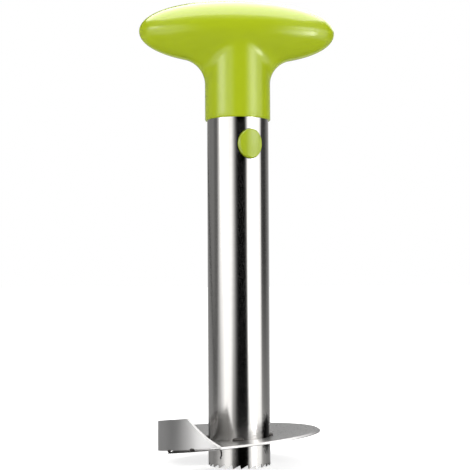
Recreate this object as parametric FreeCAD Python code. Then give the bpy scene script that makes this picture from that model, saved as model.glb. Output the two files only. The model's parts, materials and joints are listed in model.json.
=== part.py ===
# Pineapple corer: a toothed steel tube with a helical slicing ring and an upright
# side blade at its foot, and a moulded T-handle that locks into the top of the tube
# with two snap buttons. Millimetres, +Z up. The origin is on the tube's axis in the
# plane of the tooth tips, and +X runs along the grip.
import FreeCAD, Part
import math
import os

V = FreeCAD.Vector

# Steel tube
tube_radius = 16.0
tube_wall = 0.6
tube_length = 177.8
tooth_count = 25
tooth_height = 1.9
tooth_land = 0.2
tooth_lean = 0.4

# Curved slit in the tube under the slicing ring
slit_angle = 229.6
slit_centre_height = 7.1
slit_bend_radius = 4.4
slit_width = 0.9
slit_half_sweep = 32.0

# Slicing ring, welded round the tube. It is nearly level along the weld and is bent
# into a helix at its rim.
ring_radius = 41.7
ring_thickness = 1.2
ring_pitch = 12.5
ring_lead_angle = 205.0
ring_sweep = 350.0
ring_lead_height = 9.95
ring_tilt_rise = 3.9
ring_tilt_angle = 306.0
ring_weld_height = 14.0
ring_weld_rise = 0.7
ring_weld_tilt_angle = 345.0
ring_grind_width = 4.0
ring_edge_land = 0.25
ring_rim_bevel = 1.1
ring_bore_clearance = 0.03

# Upright side blade, standing on the leading part of the ring
side_overhang = 0.2
side_thickness = 0.8
side_height = 15.3
side_start_angle = 144.0
side_top_end_angle = 226.6
side_foot_end_angle = 249.5
side_foot_height = 0.5
side_ring_gap = 0.25
side_bevel_width = 0.7
side_seat_clearance = 0.15

# Weld beads
bead_length = 6.0
bead_radius = 1.4
bead_lift = 0.1
bead_angles = (262.0, 352.0, 440.0, 535.0)
under_bead_angles = (226.0, 352.0, 480.0)
spot_length = 2.6
spot_radius = 0.75
spot_angles = (208.5, 231.0)
trail_spot_angle = 544.0

# T-handle, moulded as a front and a rear shell
grip_half_length = 51.3
grip_half_depth = 19.0
grip_half_height = 16.5
grip_centre_height = 46.35
grip_fullness = 0.79
neck_radius = 17.05
neck_fillet = 13.5
shell_wall = 2.6
core_stations = (0.0, 0.35, 0.62, 0.82, 0.93)
rib_thickness = 1.6
rib_offset = 20.0
web_window_radius = 7.5
pin_radius = 1.6
pin_length = 4.0
pin_clearance = 0.1
boss_wall = 1.7
pin_offset = 32.0

# Plug that carries the handle in the tube
plug_depth = 32.0
plug_wall = 2.2
plug_fit = 0.15
spigot_height = 18.0
spigot_wall = 3.6
spigot_fit = 0.1
groove_height = 7.0
groove_width = 3.0
groove_depth = 1.6
key_width = 4.0
key_depth = 1.8

# Cap that closes the plug from below
cap_flange = 1.8
cap_wall = 2.0
cap_fit = 0.05

# Snap buttons and their spring
button_drop = 13.65
button_angle = 287.3
button_half_width = 6.25
button_half_height = 7.55
button_proud = 2.0
button_edge_round = 0.8
button_clearance = 0.3
flange_margin = 1.7
flange_inner_face = 8.4
pocket_radius = 4.1
pocket_floor = 3.6
spring_wire = 0.7
spring_radius = 3.2
spring_turns = 7
wire_facets = 6
spring_end_gap = 0.1

# How far a cut runs past what it cuts, how closely an edge is told apart, and the
# spacing of the places through which a helical surface is drawn
overcut = 1.0
overcut_angle = 2.0
closeness = 0.05
station_angle = 10.0
least_stations = 6

# Sizes that follow from the ones above
tube_bore = tube_radius - tube_wall
plug_radius = tube_bore - plug_fit
plug_bore = plug_radius - plug_wall
plug_foot = tube_length - plug_depth
spigot_radius = neck_radius - shell_wall - spigot_fit
spigot_bore = spigot_radius - spigot_wall
grip_height = tube_length + grip_centre_height
button_height = tube_length - button_drop
flange_radius = plug_bore - button_clearance
flange_half_height = button_half_height + flange_margin
flange_half_width = button_half_width + flange_margin
guide_top = button_height + flange_half_height + button_clearance
guide_foot = button_height - flange_half_height - button_clearance
button_reach = tube_radius + button_proud
side_radius = ring_radius + side_overhang
side_inner_radius = side_radius - side_thickness


def polar(radius, angle, height=0.0):
    turn = math.radians(angle)
    return V(radius * math.cos(turn), radius * math.sin(turn), height)


def upright(radius, foot, top):
    return Part.makeCylinder(radius, top - foot, V(0, 0, foot))


def turned(shape, angle):
    copy = shape.copy()
    copy.rotate(V(0, 0, 0), V(0, 0, 1), angle)
    return copy


def slab(x_span, y_span, z_span):
    size = [span[1] - span[0] for span in (x_span, y_span, z_span)]
    return Part.makeBox(*size, V(x_span[0], y_span[0], z_span[0]))


def ring_top(angle, radius):
    # Height of the ring's upper face. The weld line lies in one plane, a little tilted.
    # The rim follows a right-hand helix on a plane that is tilted further, and straight
    # lines run from one to the other.
    weld_line = ring_weld_height + ring_weld_rise * math.cos(math.radians(angle - ring_weld_tilt_angle))
    climb = ring_pitch * (angle - ring_lead_angle) / 360
    tilt = math.cos(math.radians(angle - ring_tilt_angle))
    lead_tilt = math.cos(math.radians(ring_lead_angle - ring_tilt_angle))
    rim = ring_lead_height + climb + ring_tilt_rise * (tilt - lead_tilt)
    spread = (radius - tube_radius) / (ring_radius - tube_radius)
    return weld_line + (rim - weld_line) * spread


def helical_solid(section, start, end):
    # A closed solid that follows the ring's surface. Each corner of its section is a
    # radius and a height above that surface, as a number or a function of the angle
    # and the radius.
    steps = max(least_stations, math.ceil((end - start) / station_angle))
    angles = [start + (end - start) * i / steps for i in range(steps + 1)]
    rails = []
    for radius, rise in section:
        heights = [rise(a, radius) if callable(rise) else rise for a in angles]
        curve = Part.BSplineCurve()
        curve.interpolate([polar(radius, a, ring_top(a, radius) + h) for a, h in zip(angles, heights)])
        rails.append(curve.toShape())
    faces = [Part.makeRuledSurface(rail, rails[i - 1]) for i, rail in enumerate(rails)]
    for last in (0, 1):
        corners = [edge.Vertexes[last].Point for edge in rails]
        faces.append(Part.Face(Part.makePolygon(corners + corners[:1])))
    shell = Part.makeShell(faces)
    shell.sewShape()
    solid = Part.Solid(shell.Shells[0])
    if solid.Volume < 0:
        solid.reverse()
    return solid


def band(inner, outer, below, above):
    # The corners of a rectangular section.
    return [(inner, below), (outer, below), (outer, above), (inner, above)]


def half_space(point, along, across):
    # A block whose face holds the point and the two directions, on the side that
    # along x across points to.
    x_axis = along.normalize()
    normal = x_axis.cross(across).normalize()
    y_axis = normal.cross(x_axis)
    size = 2 * ring_radius
    block = Part.makeBox(2 * size, 2 * size, size, V(-size, -size, 0))
    block.Placement = FreeCAD.Placement(point, FreeCAD.Rotation(x_axis, y_axis, normal, "ZXY"))
    return block


def oval_bar(half_width, half_height, start, end, height):
    # An oval prism along +X, standing across the tube's axis at the given height.
    ellipse = Part.Ellipse(V(0, 0, 0), half_height, half_width)
    face = Part.Face(Part.Wire(ellipse.toShape()))
    face.rotate(V(0, 0, 0), V(0, 1, 0), 90)
    face.translate(V(start, 0, height))
    return face.extrude(V(end - start, 0, 0))


def button_window(reach):
    window = oval_bar(button_half_width + button_clearance, button_half_height + button_clearance,
                      0, reach, button_height)
    return [turned(window, button_angle), turned(window, button_angle + 180)]


def make_tube():
    body = upright(tube_radius, 0, tube_length).cut(upright(tube_bore, -overcut, tube_length + overcut))
    body = body.cut(button_window(tube_radius + overcut))

    # Saw teeth, each with its steep face on the side that cuts when the handle is
    # turned clockwise.
    pitch = 2 * math.pi * tube_radius / tooth_count
    inner = tube_bore - overcut
    gullet = Part.makePolygon([
        V(inner, tooth_land, -overcut),
        V(inner, tooth_land, 0),
        V(inner, pitch - tooth_lean, tooth_height),
        V(inner, pitch, 0),
        V(inner, pitch, -overcut),
        V(inner, tooth_land, -overcut)])
    cutter = Part.Face(gullet).extrude(V(tube_wall + 2 * overcut, 0, 0))
    cutter.translate(V(0, -pitch / 2, 0))
    body = body.cut([turned(cutter, 360 * i / tooth_count) for i in range(tooth_count)])
    return body.cut(make_slit())


def make_slit():
    outer = slit_bend_radius + slit_width / 2
    inner = slit_bend_radius - slit_width / 2
    depth = tube_wall + 2 * overcut
    sector = Part.makeCylinder(outer, depth, V(0, 0, 0), V(0, 0, 1), 2 * slit_half_sweep)
    sector = sector.cut(Part.makeCylinder(inner, depth))
    sector.rotate(V(0, 0, 0), V(0, 0, 1), -slit_half_sweep)
    sector.Placement = FreeCAD.Placement(
        V(tube_bore - overcut, -slit_bend_radius, slit_centre_height),
        FreeCAD.Rotation(V(0, 1, 0), V(0, 0, 1), V(1, 0, 0), "ZXY")).multiply(sector.Placement)
    return turned(sector, slit_angle)


def make_ring():
    # A flat strip of sheet with its rim bevelled from above
    bore = tube_radius + ring_bore_clearance
    end_angle = ring_lead_angle + ring_sweep
    depth = ring_thickness - ring_edge_land
    section = [(bore, -ring_thickness), (ring_radius, -ring_thickness), (ring_radius, -depth),
               (ring_radius - ring_rim_bevel, 0), (bore, 0)]
    blank = helical_solid(section, ring_lead_angle, end_angle)

    # Leading edge, ground to the same land from above
    def ground_face(angle, radius):
        back = math.radians(angle - ring_lead_angle) * radius
        return -depth * (1 - back / ring_grind_width)

    ground_end = ring_lead_angle + math.degrees((ring_grind_width + overcut) / bore)
    headroom = ground_face(ground_end, ring_radius + overcut) + overcut
    grind = helical_solid(band(bore - overcut, ring_radius + overcut, ground_face, headroom),
                          ring_lead_angle - overcut_angle, ground_end)

    # Seat for the side blade, which passes outside the trailing end of the ring
    seat = helical_solid(band(side_inner_radius - side_seat_clearance, side_radius + overcut,
                              side_ring_gap / 2, side_height + overcut),
                         side_start_angle - overcut_angle, side_foot_end_angle)
    return blank.cut(grind).cut(seat)


def side_point(angle, rise):
    return polar(side_radius, angle, ring_top(angle, side_radius) + rise)


def make_side_blade():
    blank = helical_solid(band(side_inner_radius, side_radius, side_ring_gap, side_height),
                          side_start_angle, side_foot_end_angle + overcut_angle)

    # Slanted rear edge, bevelled on its outer face
    top = side_point(side_top_end_angle, side_height)
    foot = side_point(side_foot_end_angle, side_foot_height)
    middle_angle = (side_top_end_angle + side_foot_end_angle) / 2
    slant = foot - top
    outward = polar(1, middle_angle)
    square = outward.cross(slant).normalize()
    bevel = square * side_bevel_width - outward * side_thickness
    blank = blank.cut(half_space(top, slant, bevel))

    # Upright leading edge, bevelled the same way
    lead = side_point(side_start_angle, 0) + polar(1, side_start_angle + 90) * side_bevel_width
    inner = polar(side_inner_radius, side_start_angle, lead.z)
    return blank.cut(half_space(lead, V(0, 0, -1), lead - inner))


def bead(centre, length, radius, angle):
    # A round-ended bead that lies along the joint it closes.
    reach = length / 2 - radius
    drop = Part.makeCylinder(radius, 2 * reach, V(0, -reach, 0), V(0, 1, 0))
    for side in (-1, 1):
        drop = drop.fuse(Part.makeSphere(radius, V(0, side * reach, 0), V(0, 1, 0)))
    drop = turned(drop.removeSplitter(), angle)
    drop.translate(centre)
    return drop


def on_ring(angle, radius, drop):
    # The space below the ring's upper face near one place, lowered by a small drop.
    place = polar(radius, angle, ring_top(angle, radius) - drop)
    outward = polar(radius + 1, angle, ring_top(angle, radius + 1) - drop) - place
    onward = polar(radius, angle + 1, ring_top(angle + 1, radius) - drop) - place
    return half_space(place, onward, outward)


def make_ring_welds():
    # Beads along the tube on the ring's upper face, and others under it
    solids = []
    for angle in bead_angles:
        place = polar(tube_radius, angle, ring_top(angle, tube_radius))
        drop = bead(place, bead_length, bead_radius, angle).cut(upright(tube_radius, 0, tube_length))
        solids += drop.cut(on_ring(angle, tube_radius, -bead_lift)).Solids
    for angle in under_bead_angles:
        place = polar(tube_radius, angle, ring_top(angle, tube_radius) - ring_thickness)
        drop = bead(place, bead_length, bead_radius, angle).cut(upright(tube_radius, 0, tube_length))
        solids += drop.common(on_ring(angle, tube_radius, ring_thickness + bead_lift)).Solids
    return Part.Compound(solids)


def make_side_welds():
    # Two spots outside the side blade's foot, and one inside it on the ring's end
    solids = []
    for angle in spot_angles:
        place = polar(side_radius, angle, ring_top(angle, side_radius))
        solids += bead(place, spot_length, spot_radius, angle).cut(upright(side_radius, 0, tube_length)).Solids
    place = polar(side_inner_radius, trail_spot_angle, ring_top(trail_spot_angle, side_inner_radius))
    end = bead(place, bead_length, bead_radius, trail_spot_angle)
    end = end.common(upright(side_inner_radius, 0, tube_length))
    solids += end.cut(on_ring(trail_spot_angle, side_inner_radius, -bead_lift)).Solids
    return Part.Compound(solids)


def make_grip():
    # Two quarter conics, a little fuller towards the ends than an ellipse, whose weight
    # is 0.707, are turned about the grip's long axis. The round body is then stretched
    # to its depth.
    corners = [V(-grip_half_length, 0, 0), V(-grip_half_length, 0, grip_half_height),
               V(0, 0, grip_half_height), V(grip_half_length, 0, grip_half_height),
               V(grip_half_length, 0, 0)]
    curve = Part.BSplineCurve()
    curve.buildFromPolesMultsKnots(corners, (3, 2, 3), (0, 1, 2), False, 2,
                                   (1, grip_fullness, 1, grip_fullness, 1))
    axis = Part.makeLine(corners[-1], corners[0])
    body = Part.Face(Part.Wire([curve.toShape(), axis])).revolve(V(0, 0, 0), V(1, 0, 0), 360)
    stretch = FreeCAD.Matrix()
    stretch.scale(1, grip_half_depth / grip_half_height, 1)
    grip = body.transformGeometry(stretch)
    grip.translate(V(0, 0, grip_height))
    return grip


def make_outside():
    # The grip, blended into the round neck
    form = make_grip().fuse(upright(neck_radius, tube_length, grip_height)).Solids[0]
    for edge in form.Edges:
        middle = edge.valueAt((edge.FirstParameter + edge.LastParameter) / 2)
        on_neck = abs(math.hypot(middle.x, middle.y) - neck_radius) < closeness
        round_neck = min(edge.BoundBox.XLength, edge.BoundBox.YLength) > neck_radius
        if on_neck and round_neck and edge.BoundBox.ZMin > tube_length + closeness:
            return form.makeFillet(neck_fillet, [edge])
    raise ValueError("the neck does not meet the grip")


def make_handle():
    outside = make_outside()
    neck_bore = neck_radius - shell_wall
    stations = [(x * grip_half_length, math.sqrt(1 - x * x) * grip_half_height - shell_wall)
                for x in core_stations]
    right = [V(x, 0, grip_height + r) for x, r in stations]
    left = [V(-p.x, 0, p.z) for p in reversed(right[1:])]
    ends = [V(right[-1].x, 0, grip_height), V(left[0].x, 0, grip_height)]
    core = Part.Face(Part.makePolygon(left + right + ends + left[:1]))
    core = core.revolve(V(0, 0, grip_height), V(1, 0, 0), 360)
    hollow = core.fuse(upright(neck_bore, tube_length, grip_height))

    # Rib in the neck that holds the plug's groove, and keys that stop it turning
    rib_foot = tube_length + groove_height
    rib_top = rib_foot + groove_width
    rib_inner = spigot_radius - groove_depth + spigot_fit
    rib = upright(neck_bore + overcut, rib_foot, rib_top).cut(upright(rib_inner, rib_foot, rib_top))
    key = slab((spigot_radius - key_depth + spigot_fit, neck_bore + overcut),
               (-key_width / 2, key_width / 2), (rib_foot, tube_length + spigot_height))
    fittings = [rib, turned(key, 90), turned(key, 270)]

    # Stiffening webs across the hollow grip, and bosses for the locating pins
    for side in (-1, 1):
        middle = side * rib_offset
        web = slab((middle - rib_thickness / 2, middle + rib_thickness / 2),
                   (-grip_half_depth, grip_half_depth),
                   (grip_height - grip_half_height, grip_height + grip_half_height))
        window = Part.makeCylinder(web_window_radius, rib_thickness,
                                   V(middle - rib_thickness / 2, 0, grip_height), V(1, 0, 0))
        foot = V(side * pin_offset, -grip_half_depth, grip_height)
        boss = Part.makeCylinder(pin_radius + boss_wall, 2 * grip_half_depth, foot, V(0, 1, 0))
        fittings += [web.cut(window), boss]
    hollow = hollow.cut(fittings)

    wide = grip_half_length + overcut
    high = (tube_length - overcut, grip_height + grip_half_height + overcut)
    front = outside.cut(slab((-wide, wide), (0, wide), high)).cut(hollow)
    rear = outside.cut(slab((-wide, wide), (-wide, 0), high)).cut(hollow)
    for side in (-1, 1):
        seat = V(side * pin_offset, -overcut, grip_height)
        front = front.fuse(Part.makeCylinder(pin_radius, pin_length + overcut, seat, V(0, 1, 0)))
        hole_depth = pin_length + pin_clearance + overcut
        rear = rear.cut(Part.makeCylinder(pin_radius + pin_clearance, hole_depth, seat, V(0, 1, 0)))
    return front, rear


def make_plug():
    sleeve = upright(plug_radius, plug_foot, tube_length)
    spigot = upright(spigot_radius, tube_length, tube_length + spigot_height)
    body = sleeve.fuse(spigot)
    body = body.cut(upright(plug_bore, plug_foot - overcut, guide_top))
    floor_top = guide_top + plug_wall
    body = body.cut(upright(spigot_bore, floor_top, tube_length + spigot_height + overcut))
    groove_foot = tube_length + groove_height - spigot_fit
    groove_top = tube_length + groove_height + groove_width + spigot_fit
    groove = upright(spigot_radius + overcut, groove_foot, groove_top)
    groove = groove.cut(upright(spigot_radius - groove_depth, groove_foot, groove_top))
    slot_half = key_width / 2 + spigot_fit
    slot = slab((spigot_radius - key_depth, spigot_radius + overcut), (-slot_half, slot_half),
                (groove_foot, tube_length + spigot_height + overcut))
    body = body.cut([groove, turned(slot, 90), turned(slot, 270)])
    return body.cut(button_window(tube_radius)).removeSplitter()


def make_plug_cap():
    skirt_radius = plug_bore - cap_fit
    flange = upright(plug_radius, plug_foot - cap_flange, plug_foot)
    skirt = upright(skirt_radius, plug_foot - cap_flange, guide_foot)
    cap = flange.fuse(skirt).removeSplitter()
    return cap.cut(upright(skirt_radius - cap_wall, plug_foot, guide_foot + overcut))


def make_button(angle):
    # Oval head with a face that follows the tube
    head = oval_bar(button_half_width, button_half_height, flange_inner_face, button_reach + overcut,
                    button_height)
    head = head.common(turned(upright(button_reach, 0, tube_length), 180))
    rim = [edge for edge in head.Edges if edge.CenterOfMass.x > tube_radius]
    head = head.makeFillet(button_edge_round, rim)

    # Flange that stops the head in the plug's window, with a pocket for the spring
    flange = slab((flange_inner_face, button_reach), (-flange_half_width, flange_half_width),
                  (button_height - flange_half_height, button_height + flange_half_height))
    flange = flange.common(upright(flange_radius, 0, tube_length))
    button = head.fuse(flange).removeSplitter()
    pocket_end = button_reach - pocket_floor
    pocket = Part.makeCylinder(pocket_radius, pocket_end, V(0, 0, button_height), V(1, 0, 0))
    return turned(button.cut(pocket), angle)


def make_spring():
    reach = button_reach - pocket_floor - spring_end_gap
    length = 2 * reach - spring_wire
    helix = Part.makeHelix(length / spring_turns, length, spring_radius)
    corners = [math.radians(360 * i / wire_facets) for i in range(wire_facets + 1)]
    section = Part.makePolygon([V(spring_radius + spring_wire / 2 * math.cos(a), 0,
                                  spring_wire / 2 * math.sin(a)) for a in corners])
    coil = Part.Wire(helix.Edges).makePipeShell([section], True, True)
    coil.translate(V(0, 0, -length / 2))
    coil.rotate(V(0, 0, 0), V(0, 1, 0), 90)
    coil.translate(V(0, 0, button_height))
    return turned(coil, button_angle)


handle_front, handle_rear = make_handle()
nodes = {
    "tube": make_tube(),
    "slicing_ring": make_ring(),
    "side_blade": make_side_blade(),
    "ring_welds": make_ring_welds(),
    "side_blade_welds": make_side_welds(),
    "handle_front": handle_front,
    "handle_rear": handle_rear,
    "plug": make_plug(),
    "plug_cap": make_plug_cap(),
    "button_front": make_button(button_angle),
    "button_rear": make_button(button_angle + 180),
    "button_spring": make_spring(),
}

os.makedirs("parts", exist_ok=True)
for name, shape in nodes.items():
    if not shape.isValid() or not shape.Solids:
        raise ValueError(name + " is not a valid solid")
    shape.exportStep("parts/" + name + ".step")
    box = shape.BoundBox
    print(name, len(shape.Solids), "solid,", round(shape.Volume), "mm3, x", round(box.XMin, 2),
          round(box.XMax, 2), "y", round(box.YMin, 2), round(box.YMax, 2), "z", round(box.ZMin, 2),
          round(box.ZMax, 2))
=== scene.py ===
# Looks of the pineapple corer: a steel tube with a helical slicing ring at its foot and
# a glossy lime-green T-handle, photographed on white in a studio with tall softboxes.
import json
import math

import bpy
from mathutils import Matrix, Vector


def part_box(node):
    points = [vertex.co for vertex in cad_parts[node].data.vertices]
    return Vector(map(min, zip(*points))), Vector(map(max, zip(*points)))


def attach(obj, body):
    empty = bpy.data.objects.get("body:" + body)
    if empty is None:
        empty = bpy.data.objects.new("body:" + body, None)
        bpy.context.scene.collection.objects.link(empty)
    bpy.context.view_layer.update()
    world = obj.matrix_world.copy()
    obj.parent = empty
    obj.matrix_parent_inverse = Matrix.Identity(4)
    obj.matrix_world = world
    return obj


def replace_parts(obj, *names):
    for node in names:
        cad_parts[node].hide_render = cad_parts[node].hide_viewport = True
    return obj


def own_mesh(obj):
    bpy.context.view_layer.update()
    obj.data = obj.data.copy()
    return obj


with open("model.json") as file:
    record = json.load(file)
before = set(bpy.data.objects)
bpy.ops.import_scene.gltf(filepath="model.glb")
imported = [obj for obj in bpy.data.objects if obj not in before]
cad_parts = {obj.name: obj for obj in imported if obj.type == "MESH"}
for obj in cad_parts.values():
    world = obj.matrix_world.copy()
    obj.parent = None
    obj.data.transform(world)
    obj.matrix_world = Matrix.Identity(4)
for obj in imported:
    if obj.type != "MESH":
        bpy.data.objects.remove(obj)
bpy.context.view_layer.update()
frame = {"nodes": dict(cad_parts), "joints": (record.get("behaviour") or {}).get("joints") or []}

nodes = frame["nodes"]


# Tube: stainless steel, drawn, cut to saw teeth at its foot and polished with a fine belt
# that runs round it. Where the ring is welded on, near-black patches of painted shade stand for the welds'
# shadow.

def linear(colour):
    # sRGB hex to linear light
    values = [int(colour[i:i + 2], 16) / 255 for i in (0, 2, 4)]
    return [v / 12.92 if v <= 0.04045 else ((v + 0.055) / 1.055) ** 2.4 for v in values] + [1.0]


def new_material(name):
    material = bpy.data.materials.new(name)
    material.use_nodes = True
    material.node_tree.nodes.clear()
    return material.node_tree


def add(tree, kind, links=None, **settings):
    # One node with its settings; each input gets a value or another node's output.
    node = tree.nodes.new(kind)
    for key, value in settings.items():
        setattr(node, key, value)
    for socket, value in (links or {}).items():
        if isinstance(value, bpy.types.NodeSocket):
            tree.links.new(value, node.inputs[socket])
        else:
            node.inputs[socket].default_value = value
    return node


noise_low, noise_high = 0.3, 0.7


def streaks(tree, per_mm, run=1.0, detail=2.0):
    # Noise with so many grains to a millimetre, nearly all of it between noise_low and
    # noise_high. A run below 1 draws the grains out into level lines.
    place = add(tree, "ShaderNodeTexCoord").outputs["Object"]
    mapping = add(tree, "ShaderNodeMapping", {"Vector": place, "Scale": (run, run, 1.0)})
    noise = add(tree, "ShaderNodeTexNoise", {"Vector": mapping.outputs["Vector"],
                                             "Scale": per_mm * 1000, "Detail": detail})
    return noise.outputs["Fac"]


def painted_weld_shade(tree, base, shade_patches):
    # Patches of painted shade with ragged edges on the tube, near black where the welds' shadow falls,
    # each with its angle, its height, half its width and half its height. The shade is full up to the core,
    # gone past the edge.
    core, edge = 1.15, 1.7
    place = add(tree, "ShaderNodeTexCoord").outputs["Object"]
    ragged = streaks(tree, 0.7, detail=3.0)
    for angle, height, half_width, half_height in shade_patches:
        turn = math.radians(angle)
        centre = (tube_radius * math.cos(turn), tube_radius * math.sin(turn), height)
        shrink = (1 / half_width, 1 / half_width, 1 / half_height)
        offset = add(tree, "ShaderNodeVectorMath", {0: place, 1: centre}, operation="SUBTRACT")
        shrunk = add(tree, "ShaderNodeVectorMath", {0: offset.outputs["Vector"], 1: shrink},
                     operation="MULTIPLY")
        away = add(tree, "ShaderNodeVectorMath", {0: shrunk.outputs["Vector"]}, operation="LENGTH")
        torn = add(tree, "ShaderNodeMath", {0: away.outputs["Value"], 1: ragged}, operation="ADD")
        clean = add(tree, "ShaderNodeMapRange", {"Value": torn.outputs["Value"], "From Min": core,
                                                 "From Max": edge})
        # 0B0907 is the near-black of the painted weld shade
        both = add(tree, "ShaderNodeMix", {0: clean.outputs["Result"], 6: linear("0B0907"), 7: base},
                   data_type="RGBA")
        base = both.outputs[2]
    return base


def steel(name, colour, rough, per_mm, depth, run=1.0, brushed=0.0, shade_patches=()):
    # Stainless steel with grinding marks of a depth in metres. Brushing that runs round
    # the tube's axis draws reflections out along it.
    tree = new_material(name)
    grinding = streaks(tree, per_mm, run)
    bump = add(tree, "ShaderNodeBump", {"Height": grinding, "Distance": depth, "Strength": 1.0})
    gloss = add(tree, "ShaderNodeMapRange", {"Value": grinding, "From Min": noise_low, "From Max": noise_high,
                                             "To Min": rough[0], "To Max": rough[1]})
    round_axis = add(tree, "ShaderNodeTangent", direction_type="RADIAL", axis="Z")
    # Painted shade: near-black patches at the welds, where they are given
    base = painted_weld_shade(tree, linear(colour), shade_patches) if shade_patches else linear(colour)
    shade = add(tree, "ShaderNodeBsdfPrincipled",
                {"Base Color": base, "Metallic": 1.0, "Roughness": gloss.outputs["Result"],
                 "Normal": bump.outputs["Normal"], "Anisotropic": brushed,
                 "Anisotropic Rotation": quarter_turn, "Tangent": round_axis.outputs["Tangent"]})
    add(tree, "ShaderNodeOutputMaterial", {"Surface": shade.outputs["BSDF"]})


def dress(name, material):
    # A CAD node shown as it is, in one finish
    mesh = nodes[name].data
    mesh.materials.clear()
    mesh.materials.append(bpy.data.materials[material])


micron = 0.000001
quarter_turn = 0.25
tube_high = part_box("tube")[1]
tube_radius = tube_high.x
tube_wall = 0.0006

# Painted shade at the welds: near-black patches on the tube's right, on its left, and near the ring's leading
# end
tube_weld_shade = (
    (325, 0.0170, 0.0042, 0.0095),
    (184, 0.0177, 0.0034, 0.0068),
    (224, 0.0123, 0.0018, 0.0012))

# Belt-polished stainless: mirrors the room in upright bands, crisp at their sides and
# faintly combed. The belt's lines are finer than the picture shows, so they are drawn
# a quarter of a millimetre apart.
steel("polished stainless tube", "CBC9C6", rough=(0.13, 0.2), per_mm=4.0, depth=0.4 * micron,
      run=0.06, brushed=0.9, shade_patches=tube_weld_shade)

# Stainless of the unpolished bore, painted dark for the shade inside the tube, and without any band
steel("dull inside of the tube", "4A4846", rough=(0.4, 0.5), per_mm=2.0, depth=1.0 * micron)

dress("tube", "polished stainless tube")
tube_mesh = nodes["tube"].data
# The bore's faces take the dark steel with the painted shade
tube_mesh.materials.append(bpy.data.materials["dull inside of the tube"])
for polygon in tube_mesh.polygons:
    if math.hypot(polygon.center.x, polygon.center.y) < tube_radius - tube_wall / 2:
        polygon.material_index = 1


# Slicing ring: a flat ring cut from stainless sheet, slit once and pulled to a helix,
# with its rim and its leading edge ground sharp. It is welded round the tube.

def ground_edges(name, facing, least, most):
    # The bevels lean between the sheet's faces and its rim, and get the finish of a
    # ground edge.
    mesh = nodes[name].data
    mesh.materials.append(bpy.data.materials["ground edge"])
    for polygon in mesh.polygons:
        outward = Vector((polygon.center.x, polygon.center.y, 0)).normalized()
        if least < facing(polygon.normal, outward) < most:
            polygon.material_index = 1


# Satin sheet: an even grey that takes light from the room and shows no image of it
steel("satin stainless sheet", "989796", rough=(0.26, 0.34), per_mm=0.9, depth=2.0 * micron)

# Ground edge: a bright line where the bevel faces a softbox, grey elsewhere
steel("ground edge", "8A8988", rough=(0.3, 0.4), per_mm=1.5, depth=1.0 * micron)

dress("slicing_ring", "satin stainless sheet")
ground_edges("slicing_ring", lambda normal, outward: normal.z, least=0.2, most=0.9)


# Side blade: thinner stainless sheet, rolled to an upright band that stands on the
# leading part of the ring and is ground sharp on its slanted rear edge.

# Brushed stainless: a soft grey that grows lighter towards the slanted edge. Its lines
# are drawn a third of a millimetre apart, which is coarser than they are.
steel("brushed side blade", "CDCCCB", rough=(0.28, 0.34), per_mm=3.0, depth=0.4 * micron,
      run=0.08, brushed=0.6)

dress("side_blade", "brushed side blade")
ground_edges("side_blade", lambda normal, outward: normal.dot(outward), least=0.2, most=0.93)


# Welds: beads of melted steel that close the ring on the tube, and spots at the side
# blade's foot, left as they cooled.

def make_weld():
    # Heat scale: nearly black and half matt, with a little brown in its grains
    tree = new_material("heat-darkened weld")
    grain = streaks(tree, 0.9, detail=4.0)
    ramp = add(tree, "ShaderNodeValToRGB", {"Fac": grain})
    ramp.color_ramp.elements[0].color = linear("0B0A09")
    ramp.color_ramp.elements[1].color = linear("2A231E")
    bump = add(tree, "ShaderNodeBump", {"Height": grain, "Distance": 100 * micron})
    shade = add(tree, "ShaderNodeBsdfPrincipled",
                {"Base Color": ramp.outputs["Color"], "Metallic": 0.3, "Roughness": 0.5,
                 "Normal": bump.outputs["Normal"]})
    add(tree, "ShaderNodeOutputMaterial", {"Surface": shade.outputs["BSDF"]})


make_weld()
dress("ring_welds", "heat-darkened weld")
dress("side_blade_welds", "heat-darkened weld")


# Plug and cap: green plastic as it leaves the mould, hidden in the tube, where they
# carry the handle and guide the buttons. The plug is held in the handle's neck.

def plastic(name, colour, rough, depth):
    # Moulded plastic, whose skin waves by a depth in metres over about four millimetres
    tree = new_material(name)
    waves = streaks(tree, 0.26)
    bump = add(tree, "ShaderNodeBump", {"Height": waves, "Distance": depth, "Strength": 1.0})
    gloss = add(tree, "ShaderNodeMapRange", {"Value": waves, "From Min": noise_low, "From Max": noise_high,
                                             "To Min": rough[0], "To Max": rough[1]})
    shade = add(tree, "ShaderNodeBsdfPrincipled",
                {"Base Color": linear(colour), "Roughness": gloss.outputs["Result"],
                 "Normal": bump.outputs["Normal"]})
    add(tree, "ShaderNodeOutputMaterial", {"Surface": shade.outputs["BSDF"]})


# Matt moulded plastic: an even green without any highlight
plastic("matt moulded plug", "A9BA2C", rough=(0.4, 0.5), depth=4.0 * micron)

dress("plug", "matt moulded plug")
dress("plug_cap", "matt moulded plug")


# Spring: drawn stainless wire, coiled between the two buttons. It is made in two halves,
# from the tube's axis out to each button.

# Drawn wire: bright, with a round glint on each coil
steel("drawn spring wire", "BFBDBA", rough=(0.2, 0.3), per_mm=2.5, depth=1.0 * micron)

wire_radius = 0.00035
coil_radius = 0.0032
half_turns = 3.5
half_reach = 0.01395
steps_in_turn, wire_sides = 24, 10
spring_low, spring_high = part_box("button_spring")
spring_middle = Vector((0, 0, (spring_low.z + spring_high.z) / 2))
presses = {joint["name"]: joint for joint in frame["joints"]}


def put_in_scene(name, data):
    thing = bpy.data.objects.new(name, data)
    bpy.context.scene.collection.objects.link(thing)
    return thing


def make_mesh(name, points, faces, material):
    mesh = bpy.data.meshes.new(name)
    mesh.from_pydata(points, [], faces)
    mesh.validate()
    mesh.materials.append(bpy.data.materials[material])
    return mesh


def smooth_sides(mesh):
    # The faces with four corners are smooth, and the flat ends keep their edge.
    for polygon in mesh.polygons:
        polygon.use_smooth = len(polygon.vertices) == 4


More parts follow.
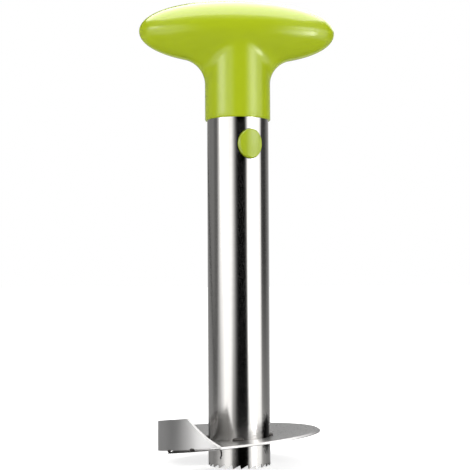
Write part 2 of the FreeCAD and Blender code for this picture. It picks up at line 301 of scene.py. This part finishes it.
def half_spring(name, joint, side):
    # From the tube's axis out to one button, which is pressed the other way
    along = -Vector(presses[joint]["axis"]).normalized()
    across = Vector((-along.y, along.x, 0)) * side
    up = Vector((0, 0, 1))
    count = int(half_turns * steps_in_turn)
    points, faces = [], []
    for i in range(count + 1):
        turn = 2 * math.pi * i / steps_in_turn * side
        outward = across * math.cos(turn) + up * math.sin(turn)
        centre = spring_middle + along * (half_reach * i / count) + outward * coil_radius
        for k in range(wire_sides):
            a = 2 * math.pi * k / wire_sides
            points.append(centre + (outward * math.cos(a) + along * math.sin(a)) * wire_radius)
    for i in range(count):
        for k in range(wire_sides):
            corner, beside = i * wire_sides + k, i * wire_sides + (k + 1) % wire_sides
            faces.append((corner, beside, beside + wire_sides, corner + wire_sides))
    first_end = list(range(wire_sides))
    last_end = [len(points) - wire_sides + k for k in range(wire_sides)]
    faces += [first_end[::-1], last_end]
    mesh = make_mesh(name, points, faces, "drawn spring wire")
    smooth_sides(mesh)
    coil = put_in_scene(name, mesh)
    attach(coil, "corer")
    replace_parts(coil, "button_spring")
    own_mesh(coil)


half_spring("front_spring_half", "front_button_press", 1)
half_spring("rear_spring_half", "rear_button_press", -1)


# Snap buttons: two oval buttons, moulded in the handle's green, that stand in the tube's
# windows and lock the handle there until both are pressed.

# Polished moulding: the dark flag and the right softbox divide the button's face into a
# deep green half and a pale one.
plastic("polished green button", "A7B928", rough=(0.1, 0.14), depth=1.0 * micron)

dress("button_front", "polished green button")
dress("button_rear", "polished green button")


# Handle: two shells, moulded in lime-green plastic and joined on the middle plane with
# pins. They form a long rounded grip that runs down through a fillet into a round neck,
# which stands on the tube.

# Glossy moulding: a smooth deep green, with the softboxes as pale, soft-edged patches
plastic("glossy lime shell", "AEC01C", rough=(0.16, 0.2), depth=2.0 * micron)

tube_top = tube_high.z
grip_half_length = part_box("handle_front")[1].x
grip_half_depth, grip_half_height = 0.019, 0.0165
grip_above_tube = 0.04635
grip_height = tube_top + grip_above_tube
grip_fullness = 0.79
neck_radius = 0.01705
neck_fillet = 0.0135
shell_wall = 0.0026
rim_round = 0.0007
seam_round = 0.00015
neck_steps, fillet_steps, grip_steps, rim_steps = 12, 24, 64, 5
columns_near_seam = (0, 0.15, 0.4, 0.8, 1.5, 2.5)
first_even_column, even_columns = 4, 96


def on_grip(turn, t, inset):
    # A point of the grip, which is a rounded conic turned about its long axis and then
    # stretched to its depth, at one angle about the tube and one place from foot to top
    length, depth, height = grip_half_length - inset, grip_half_depth - inset, grip_half_height - inset
    width = 1 / math.hypot(math.cos(turn) / length, math.sin(turn) / depth)
    slope = math.atan2(-height * math.cos(t), width * math.sin(t))
    p = abs(math.cos(turn)) * math.cos(slope) / length
    q = math.hypot(math.sin(slope) / height, math.sin(turn) * math.cos(slope) / depth)
    w = 4 * grip_fullness ** 2
    a, b, c = (p + q) ** 2 - w * p * q, (p + q) * (2 - w), 1 - w
    size = (b + math.sqrt(b * b - 4 * a * c)) / (2 * a)
    return Vector((size * math.cos(slope), size * math.sin(slope)))


def profile(turn, inset):
    # Half section of the handle at one angle about the tube, from the neck's rim to the
    # top: a straight neck, a fillet and the grip. Halving finds where the fillet meets
    # the grip.
    neck = neck_radius - inset
    bend = neck_fillet + inset
    low, high = 0.05, math.pi / 2
    halvings, small_step = 40, 0.01

    def off_grip(t):
        along = on_grip(turn, t + small_step, inset) - on_grip(turn, t - small_step, inset)
        normal = Vector((along.y, -along.x)).normalized()
        return on_grip(turn, t, inset) + normal * bend, normal

    for _ in range(halvings):
        middle = (low + high) / 2
        if off_grip(middle)[0].x < neck + bend:
            low = middle
        else:
            high = middle
    centre, normal = off_grip(low)
    neck_length = grip_height + centre.y - tube_top
    points = [(neck, tube_top + neck_length * i / neck_steps) for i in range(neck_steps)]
    end = math.atan2(-normal.y, -normal.x) % (2 * math.pi)
    for i in range(fillet_steps + 1):
        angle = math.pi + (end - math.pi) * i / fillet_steps
        points.append((centre.x + bend * math.cos(angle), grip_height + centre.y + bend * math.sin(angle)))
    for i in range(1, grip_steps + 1):
        place = on_grip(turn, low + (math.pi - low) * i / grip_steps, inset)
        points.append((max(place.x, 0.0), grip_height + place.y))
    return points


def shell_column(turn):
    # The closed section of one shell at an angle about the tube: up its outside and down
    # its inside, with a rounded rim at the foot and a rounded edge along the seam
    outer, inner = profile(turn, 0.0), profile(turn, shell_wall)
    section = []
    for k, (r, z) in enumerate(outer):
        ahead, behind = outer[min(k + 1, len(outer) - 1)], outer[max(k - 1, 0)]
        outward = Vector((ahead[1] - behind[1], behind[0] - ahead[0])).normalized()
        from_seam = abs(r * math.sin(turn))
        cut = 0.0
        if from_seam < seam_round:
            cut = seam_round - math.sqrt(seam_round ** 2 - (seam_round - from_seam) ** 2)
        if k == 0:
            for i in range(rim_steps + 1):
                a = math.pi / 2 * i / rim_steps
                section.append((neck_radius - rim_round + rim_round * math.sin(a) - cut,
                                tube_top + rim_round - rim_round * math.cos(a)))
        else:
            section.append((r - outward.x * cut, z - outward.y * cut))
    section += inner[::-1]
    return [(max(r, 0) * math.cos(turn), max(r, 0) * math.sin(turn), z) for r, z in section]


def shell_half(name, side):
    # The columns are evenly spaced round the grip's oval, and closer at the seam.
    even_turn = 180 - 2 * first_even_column
    steps = list(columns_near_seam)
    steps += [first_even_column + even_turn * i / even_columns for i in range(even_columns + 1)]
    steps += [180 - step for step in columns_near_seam[::-1]]
    columns = []
    for step in steps:
        lean = math.radians(step) * side
        turn = math.atan2(grip_half_depth * math.sin(lean), grip_half_length * math.cos(lean))
        columns.append(shell_column(turn))
    count = len(columns[0])
    points = [point for column in columns for point in column]
    faces = []
    for c in range(len(columns) - 1):
        for k in range(count):
            a, b = c * count + k, c * count + (k + 1) % count
            faces.append((a, b, b + count, a + count) if side > 0 else (a + count, b + count, b, a))
    first_end = list(range(count))
    last_end = [len(points) - count + k for k in range(count)]
    faces += [first_end[::-1], last_end] if side > 0 else [first_end, last_end[::-1]]
    mesh = make_mesh(name, points, faces, "glossy lime shell")
    smooth_sides(mesh)
    shell = put_in_scene(name, mesh)
    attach(shell, "corer")
    return shell


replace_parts(shell_half("front_shell", -1), "handle_front")
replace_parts(shell_half("rear_shell", 1), "handle_rear")


# Cards: a ring of softboxes, black flags and grey cards stands round the corer and is
# seen in its reflections alone. The steel shows it as upright bands, so it is one curved
# wall in three rows, with its light given for angles in degrees from the camera.

camera_azimuth = -6.0
wall_foot, wall_top, wall_distance = -0.6, 1.0, 0.9
strongest = 6.0

upper_stops = (
    # Grey cards on the left, from the back to the side
    (-180, 0.40), (-166, 0.55), (-152, 0.28), (-124, 0.26), (-106, 0.28), (-95, 0.18), (-87, 0.16),
    # Left softbox
    (-82, 0.34), (-77, 0.88), (-71, 1.6), (-66, 1.8), (-24, 1.8), (-20, 1.4), (-14, 0.6), (-9, 0.2),
    # Black flag behind the camera
    (-4, 0.02), (0, 0.0), (22, 0.0), (27, 0.08),
    # Right softbox
    (32, 0.8), (38, 1.8), (44, 1.85), (85, 1.85), (91, 1.3), (97, 0.2),
    # Black flag and grey cards on the right, from the side to the back
    (103, 0.05), (118, 0.04), (133, 0.2), (144, 0.3), (160, 0.6), (180, 0.4))
lower_stops = (
    # Grey cards on the left, from the back to the side
    (-180, 0.4), (-164, 0.6), (-150, 0.36), (-118, 0.32), (-104, 0.2), (-95, 0.14), (-88, 0.2),
    # Left softbox, with a grey card beside it
    (-82, 0.42), (-76, 0.46), (-71, 0.55), (-66, 0.85), (-60, 1.4), (-54, 1.9), (-30, 1.9),
    (-23, 1.0), (-17, 0.42), (-12, 0.14),
    # Black flag behind the camera
    (-7, 0.03), (-3, 0.0), (28, 0.0), (34, 0.14),
    # Right softbox
    (39, 0.8), (44, 1.7), (52, 2.0), (78, 2.0), (87, 1.6), (95, 0.55),
    # Grey cards on the right, from the side to the back
    (103, 0.32), (142, 0.28), (158, 0.7), (180, 0.4))
table_stops = (
    # The pale table on the left, lit by the softbox above it
    (-180, 0.4), (-150, 0.25), (-130, 0.38), (-108, 0.38), (-98, 0.55), (-84, 0.85), (-72, 0.78),
    (-64, 1.05), (-50, 1.6), (-38, 1.7), (-34, 1.3), (-29, 0.5),
    # Its front edge, in the black flag's shade
    (-24, 0.06), (-20, 0.0), (35, 0.0),
    # The table on the right and at the back
    (41, 0.6), (46, 1.7), (80, 1.6), (92, 0.9), (101, 0.5), (112, 0.45), (122, 0.34), (150, 0.28),
    (165, 0.6), (180, 0.4))

# Each row takes over from the one below it between two heights. The wall grows dim
# towards its foot and its top: two heights, with the share of light at each.
upper_rows = ((-0.105, -0.085, lower_stops), (-0.06, 0.12, upper_stops))
dim_ends = ((-0.34, -0.17, 0.06, 1.0), (0.42, 0.5, 1.0, 0.2))


def toward(azimuth, distance, height):
    # A place in the room, with the azimuth in degrees from the corer's front
    a = math.radians(azimuth)
    return Vector((math.sin(a) * distance, -math.cos(a) * distance, height))


def reflected_only(card):
    card.visible_camera = False
    card.visible_diffuse = False
    card.visible_shadow = False
    card.visible_transmission = False


def set_stops(ramp, stops):
    # Grey levels along a card, at places from 0 to 1
    elements = ramp.color_ramp.elements
    while len(elements) < len(stops):
        elements.new(0.5)
    for element, (place, level) in zip(elements, stops):
        element.position = place
        element.color = (level, level, level, 1.0)


def wall_mesh(name, start, width, foot, top, distance, columns, rows=1, lean=0.0):
    # An upright curved sheet, mapped by turn and height. Lean is in degrees to a metre
    # of height.
    points, places = [], []
    for k in range(rows + 1):
        height = foot + (top - foot) * k / rows
        for i in range(columns + 1):
            azimuth = camera_azimuth + start + lean * (height - foot) + width * i / columns
            points.append(toward(azimuth, distance, height))
            places.append((i / columns, height))
    faces = []
    for k in range(rows):
        for i in range(columns):
            corner = k * (columns + 1) + i
            faces.append((corner, corner + 1, corner + columns + 2, corner + columns + 1))
    mesh = make_mesh(name, points, faces, name)
    layer = mesh.uv_layers.new(name="turn and height")
    for loop in mesh.loops:
        layer.data[loop.index].uv = places[loop.vertex_index]
    reflected_only(put_in_scene(name, mesh))


def wall_of_cards():
    tree = new_material("wall of cards")
    where = add(tree, "ShaderNodeUVMap", uv_map="turn and height")
    parts = add(tree, "ShaderNodeSeparateXYZ", {"Vector": where.outputs["UV"]})
    turn, height = parts.outputs["X"], parts.outputs["Y"]

    def row_light(stops):
        ramp = add(tree, "ShaderNodeValToRGB", {"Fac": turn})
        set_stops(ramp, [((angle + 180) / 360, light / strongest) for angle, light in stops])
        return ramp.outputs["Color"]

    light = row_light(table_stops)
    for low, high, stops in upper_rows:
        share = add(tree, "ShaderNodeMapRange", {"Value": height, "From Min": low, "From Max": high})
        both = add(tree, "ShaderNodeMix", {0: share.outputs["Result"], 6: light, 7: row_light(stops)},
                   data_type="RGBA")
        light = both.outputs[2]
    power = strongest
    for low, high, at_low, at_high in dim_ends:
        dim = add(tree, "ShaderNodeMapRange", {"Value": height, "From Min": low, "From Max": high,
                                               "To Min": at_low, "To Max": at_high})
        dimmed = add(tree, "ShaderNodeMath", {0: dim.outputs["Result"], 1: power}, operation="MULTIPLY")
        power = dimmed.outputs["Value"]
    shine = add(tree, "ShaderNodeEmission", {"Color": light, "Strength": power})
    add(tree, "ShaderNodeOutputMaterial", {"Surface": shine.outputs["Emission"]})
    wall_mesh("wall of cards", start=-180, width=360, foot=wall_foot, top=wall_top,
              distance=wall_distance, columns=180)


wall_of_cards()


# Windows: the bright middles of the softboxes, hung in front of the wall. The upper two
# draw the pale streaks on the handle's neck, the low one the highlight at the grip's
# right end and the brightest line in the steel.

window_distance = 0.85


def soft_window(name, start, width, foot, top, strength, stops):
    # A bright card that fades in and out across its width
    tree = new_material(name)
    where = add(tree, "ShaderNodeUVMap", uv_map="turn and height")
    parts = add(tree, "ShaderNodeSeparateXYZ", {"Vector": where.outputs["UV"]})
    fade = add(tree, "ShaderNodeValToRGB", {"Fac": parts.outputs["X"]})
    set_stops(fade, stops)
    shine = add(tree, "ShaderNodeEmission", {"Color": linear("FFFFFF"), "Strength": strength})
    clear = add(tree, "ShaderNodeBsdfTransparent")
    both = add(tree, "ShaderNodeMixShader", {"Fac": fade.outputs["Color"], 1: clear.outputs["BSDF"],
                                             2: shine.outputs["Emission"]})
    add(tree, "ShaderNodeOutputMaterial", {"Surface": both.outputs["Shader"]})
    wall_mesh(name, start, width, foot, top, window_distance, columns=20)


soft_window("left window", start=-74, width=38, foot=0.27, top=0.45, strength=5.5,
            stops=((0, 0), (0.35, 1), (0.6, 1), (1, 0)))
soft_window("right window", start=38, width=38, foot=0.27, top=0.45, strength=5.0,
            stops=((0, 0), (0.3, 1), (0.6, 1), (1, 0)))
soft_window("low right window", start=30, width=36, foot=-0.06, top=0.2, strength=11.0,
            stops=((0, 0), (0.2, 0.15), (0.5, 0.35), (0.75, 1), (1, 1)))


# Loose cards: a narrow dark strip that leans in front of the left grey card and draws the
# dark line near the tube's left edge, a dark board far below the table, and the faces of
# the softboxes behind and above the corer.

def glow(name, strength):
    tree = new_material(name)
    light = add(tree, "ShaderNodeEmission", {"Color": linear("FFFFFF"), "Strength": strength})
    add(tree, "ShaderNodeOutputMaterial", {"Surface": light.outputs["Emission"]})


def rectangle(width, height):
    return [(x * width / 2, y * height / 2, 0) for x, y in ((-1, -1), (1, -1), (1, 1), (-1, 1))]


def aim(thing, centre, target):
    thing.location = centre
    thing.rotation_mode = "QUATERNION"
    thing.rotation_quaternion = (Vector(target) - Vector(centre)).to_track_quat("-Z", "Y")


def flat_card(name, centre, width, height, strength, target):
    glow(name, strength)
    card = put_in_scene(name, make_mesh(name, rectangle(width, height), [(0, 1, 2, 3)], name))
    aim(card, centre, target)
    reflected_only(card)


glow("leaning dark strip", 0.015)
wall_mesh("leaning dark strip", start=-94, width=9, foot=-0.08, top=0.27, distance=0.88,
          columns=6, rows=10, lean=-190)

corer_foot, corer_middle, neck_middle = (0, 0, 0), (0, 0, 0.12), (0, 0, 0.2)
flat_card("dark floor board", (0, 0, wall_foot), width=1.9, height=1.9, strength=0.08,
          target=corer_foot)
flat_card("rear softbox face", toward(148, 0.8, 0.6), width=0.9, height=0.5, strength=2.6,
          target=corer_foot)
flat_card("top softbox face", (0, 0.1, 1.15), width=1.7, height=1.6, strength=5.5,
          target=neck_middle)


# Lamps: the light that the softboxes throw on the plastic and the paper. Their faces are
# seen in the steel as the cards above, so the lamps themselves aren't mirrored.

def lamp(name, centre, width, height, power):
    data = bpy.data.lights.new(name, "AREA")
    data.shape = "RECTANGLE"
    data.size = width
    data.size_y = height
    data.energy = power
    light = put_in_scene(name, data)
    aim(light, centre, corer_middle)
    light.visible_camera = False
    light.visible_glossy = False


lamp("left softbox", toward(-57, 1.0, 0.35), width=0.6, height=1.3, power=5.0)
lamp("right softbox", toward(51, 1.0, 0.35), width=0.6, height=1.3, power=5.4)
lamp("top softbox", (0, -0.15, 1.2), width=1.1, height=0.8, power=7.5)


# Paper: a sweep of matt white paper under the corer, which keeps its faint shadow and
# runs out to the white of the room.

def white_paper():
    # Uncoated paper: white and quite matt, with fibres that are hardly seen. It is lifted
    # to the room's white for the camera alone, more so away from the corer.
    near, far = 0.1, 0.7
    near_lift, far_lift = 0.74, 0.9
    tree = new_material("white paper sweep")
    fibres = streaks(tree, 0.4, detail=3.0)
    tone = add(tree, "ShaderNodeValToRGB", {"Fac": fibres})
    tone.color_ramp.elements[0].color = linear("F6F6F5")
    tone.color_ramp.elements[1].color = linear("FBFBFA")
    paper = add(tree, "ShaderNodeBsdfDiffuse", {"Color": tone.outputs["Color"]})
    ground = add(tree, "ShaderNodeTexCoord")
    away = add(tree, "ShaderNodeVectorMath", {0: ground.outputs["Object"]}, operation="LENGTH")
    fade = add(tree, "ShaderNodeMapRange", {"Value": away.outputs["Value"], "From Min": near,
                                            "From Max": far, "To Min": near_lift, "To Max": far_lift})
    lift = add(tree, "ShaderNodeEmission", {"Color": linear("FFFFFF"), "Strength": fade.outputs["Result"]})
    none = add(tree, "ShaderNodeEmission", {"Strength": 0.0})
    path = add(tree, "ShaderNodeLightPath")
    seen = add(tree, "ShaderNodeMixShader", {"Fac": path.outputs["Is Camera Ray"],
                                             1: none.outputs["Emission"], 2: lift.outputs["Emission"]})
    both = add(tree, "ShaderNodeAddShader", {0: paper.outputs["BSDF"], 1: seen.outputs["Shader"]})
    add(tree, "ShaderNodeOutputMaterial", {"Surface": both.outputs["Shader"]})


paper_width = 120.0
white_paper()
paper_mesh = make_mesh("paper", rectangle(paper_width, paper_width), [(0, 1, 2, 3)], "white paper sweep")
paper = put_in_scene("paper", paper_mesh)
paper.visible_glossy = False


# Room: plain white to the camera, in the steel and through anything clear, and a low
# even light on the object.

room_light = 0.3
room = bpy.data.worlds.new("white room")
bpy.context.scene.world = room
room.use_nodes = True
room.node_tree.nodes.clear()
path = add(room.node_tree, "ShaderNodeLightPath").outputs
seen = add(room.node_tree, "ShaderNodeMath", {0: path["Is Camera Ray"], 1: path["Is Glossy Ray"]},
           operation="MAXIMUM")
seen = add(room.node_tree, "ShaderNodeMath", {0: seen.outputs["Value"], 1: path["Is Transmission Ray"]},
           operation="MAXIMUM")
level = add(room.node_tree, "ShaderNodeMapRange", {"Value": seen.outputs["Value"], "To Min": room_light,
                                                   "To Max": 1.0})
sky = add(room.node_tree, "ShaderNodeBackground", {"Color": linear("FFFFFF"),
                                                   "Strength": level.outputs["Result"]})
add(room.node_tree, "ShaderNodeOutputWorld", {"Surface": sky.outputs["Background"]})


# Camera: a long lens, a little below the corer's middle and six degrees to the left of
# its front, tilted up and turned a touch as in the photograph.

camera_distance, camera_height = 0.568, 0.0938
camera_pitch, camera_yaw, camera_roll = (math.radians(angle) for angle in (2.46, 0.173, 0.29))
camera_data = bpy.data.cameras.new("camera")
camera_data.sensor_width = 36.0
camera_data.lens = 83.7
camera_data.clip_start = 0.01
camera_data.clip_end = 20.0
camera = put_in_scene("camera", camera_data)
bpy.context.scene.camera = camera
place = toward(camera_azimuth, camera_distance, camera_height)
ahead = Matrix.Rotation(camera_yaw, 3, "Z") @ Vector((-place.x, -place.y, 0)).normalized()
look = (ahead * math.cos(camera_pitch) + Vector((0, 0, math.sin(camera_pitch)))).normalized()
right = look.cross(Vector((0, 0, 1))).normalized()
up = right.cross(look)
rolled_right = right * math.cos(camera_roll) - up * math.sin(camera_roll)
rolled_up = up * math.cos(camera_roll) + right * math.sin(camera_roll)
turned = Matrix((rolled_right, rolled_up, -look)).transposed()
camera.matrix_world = Matrix.Translation(place) @ turned.to_4x4()

bpy.context.scene.view_settings.view_transform = "Standard"
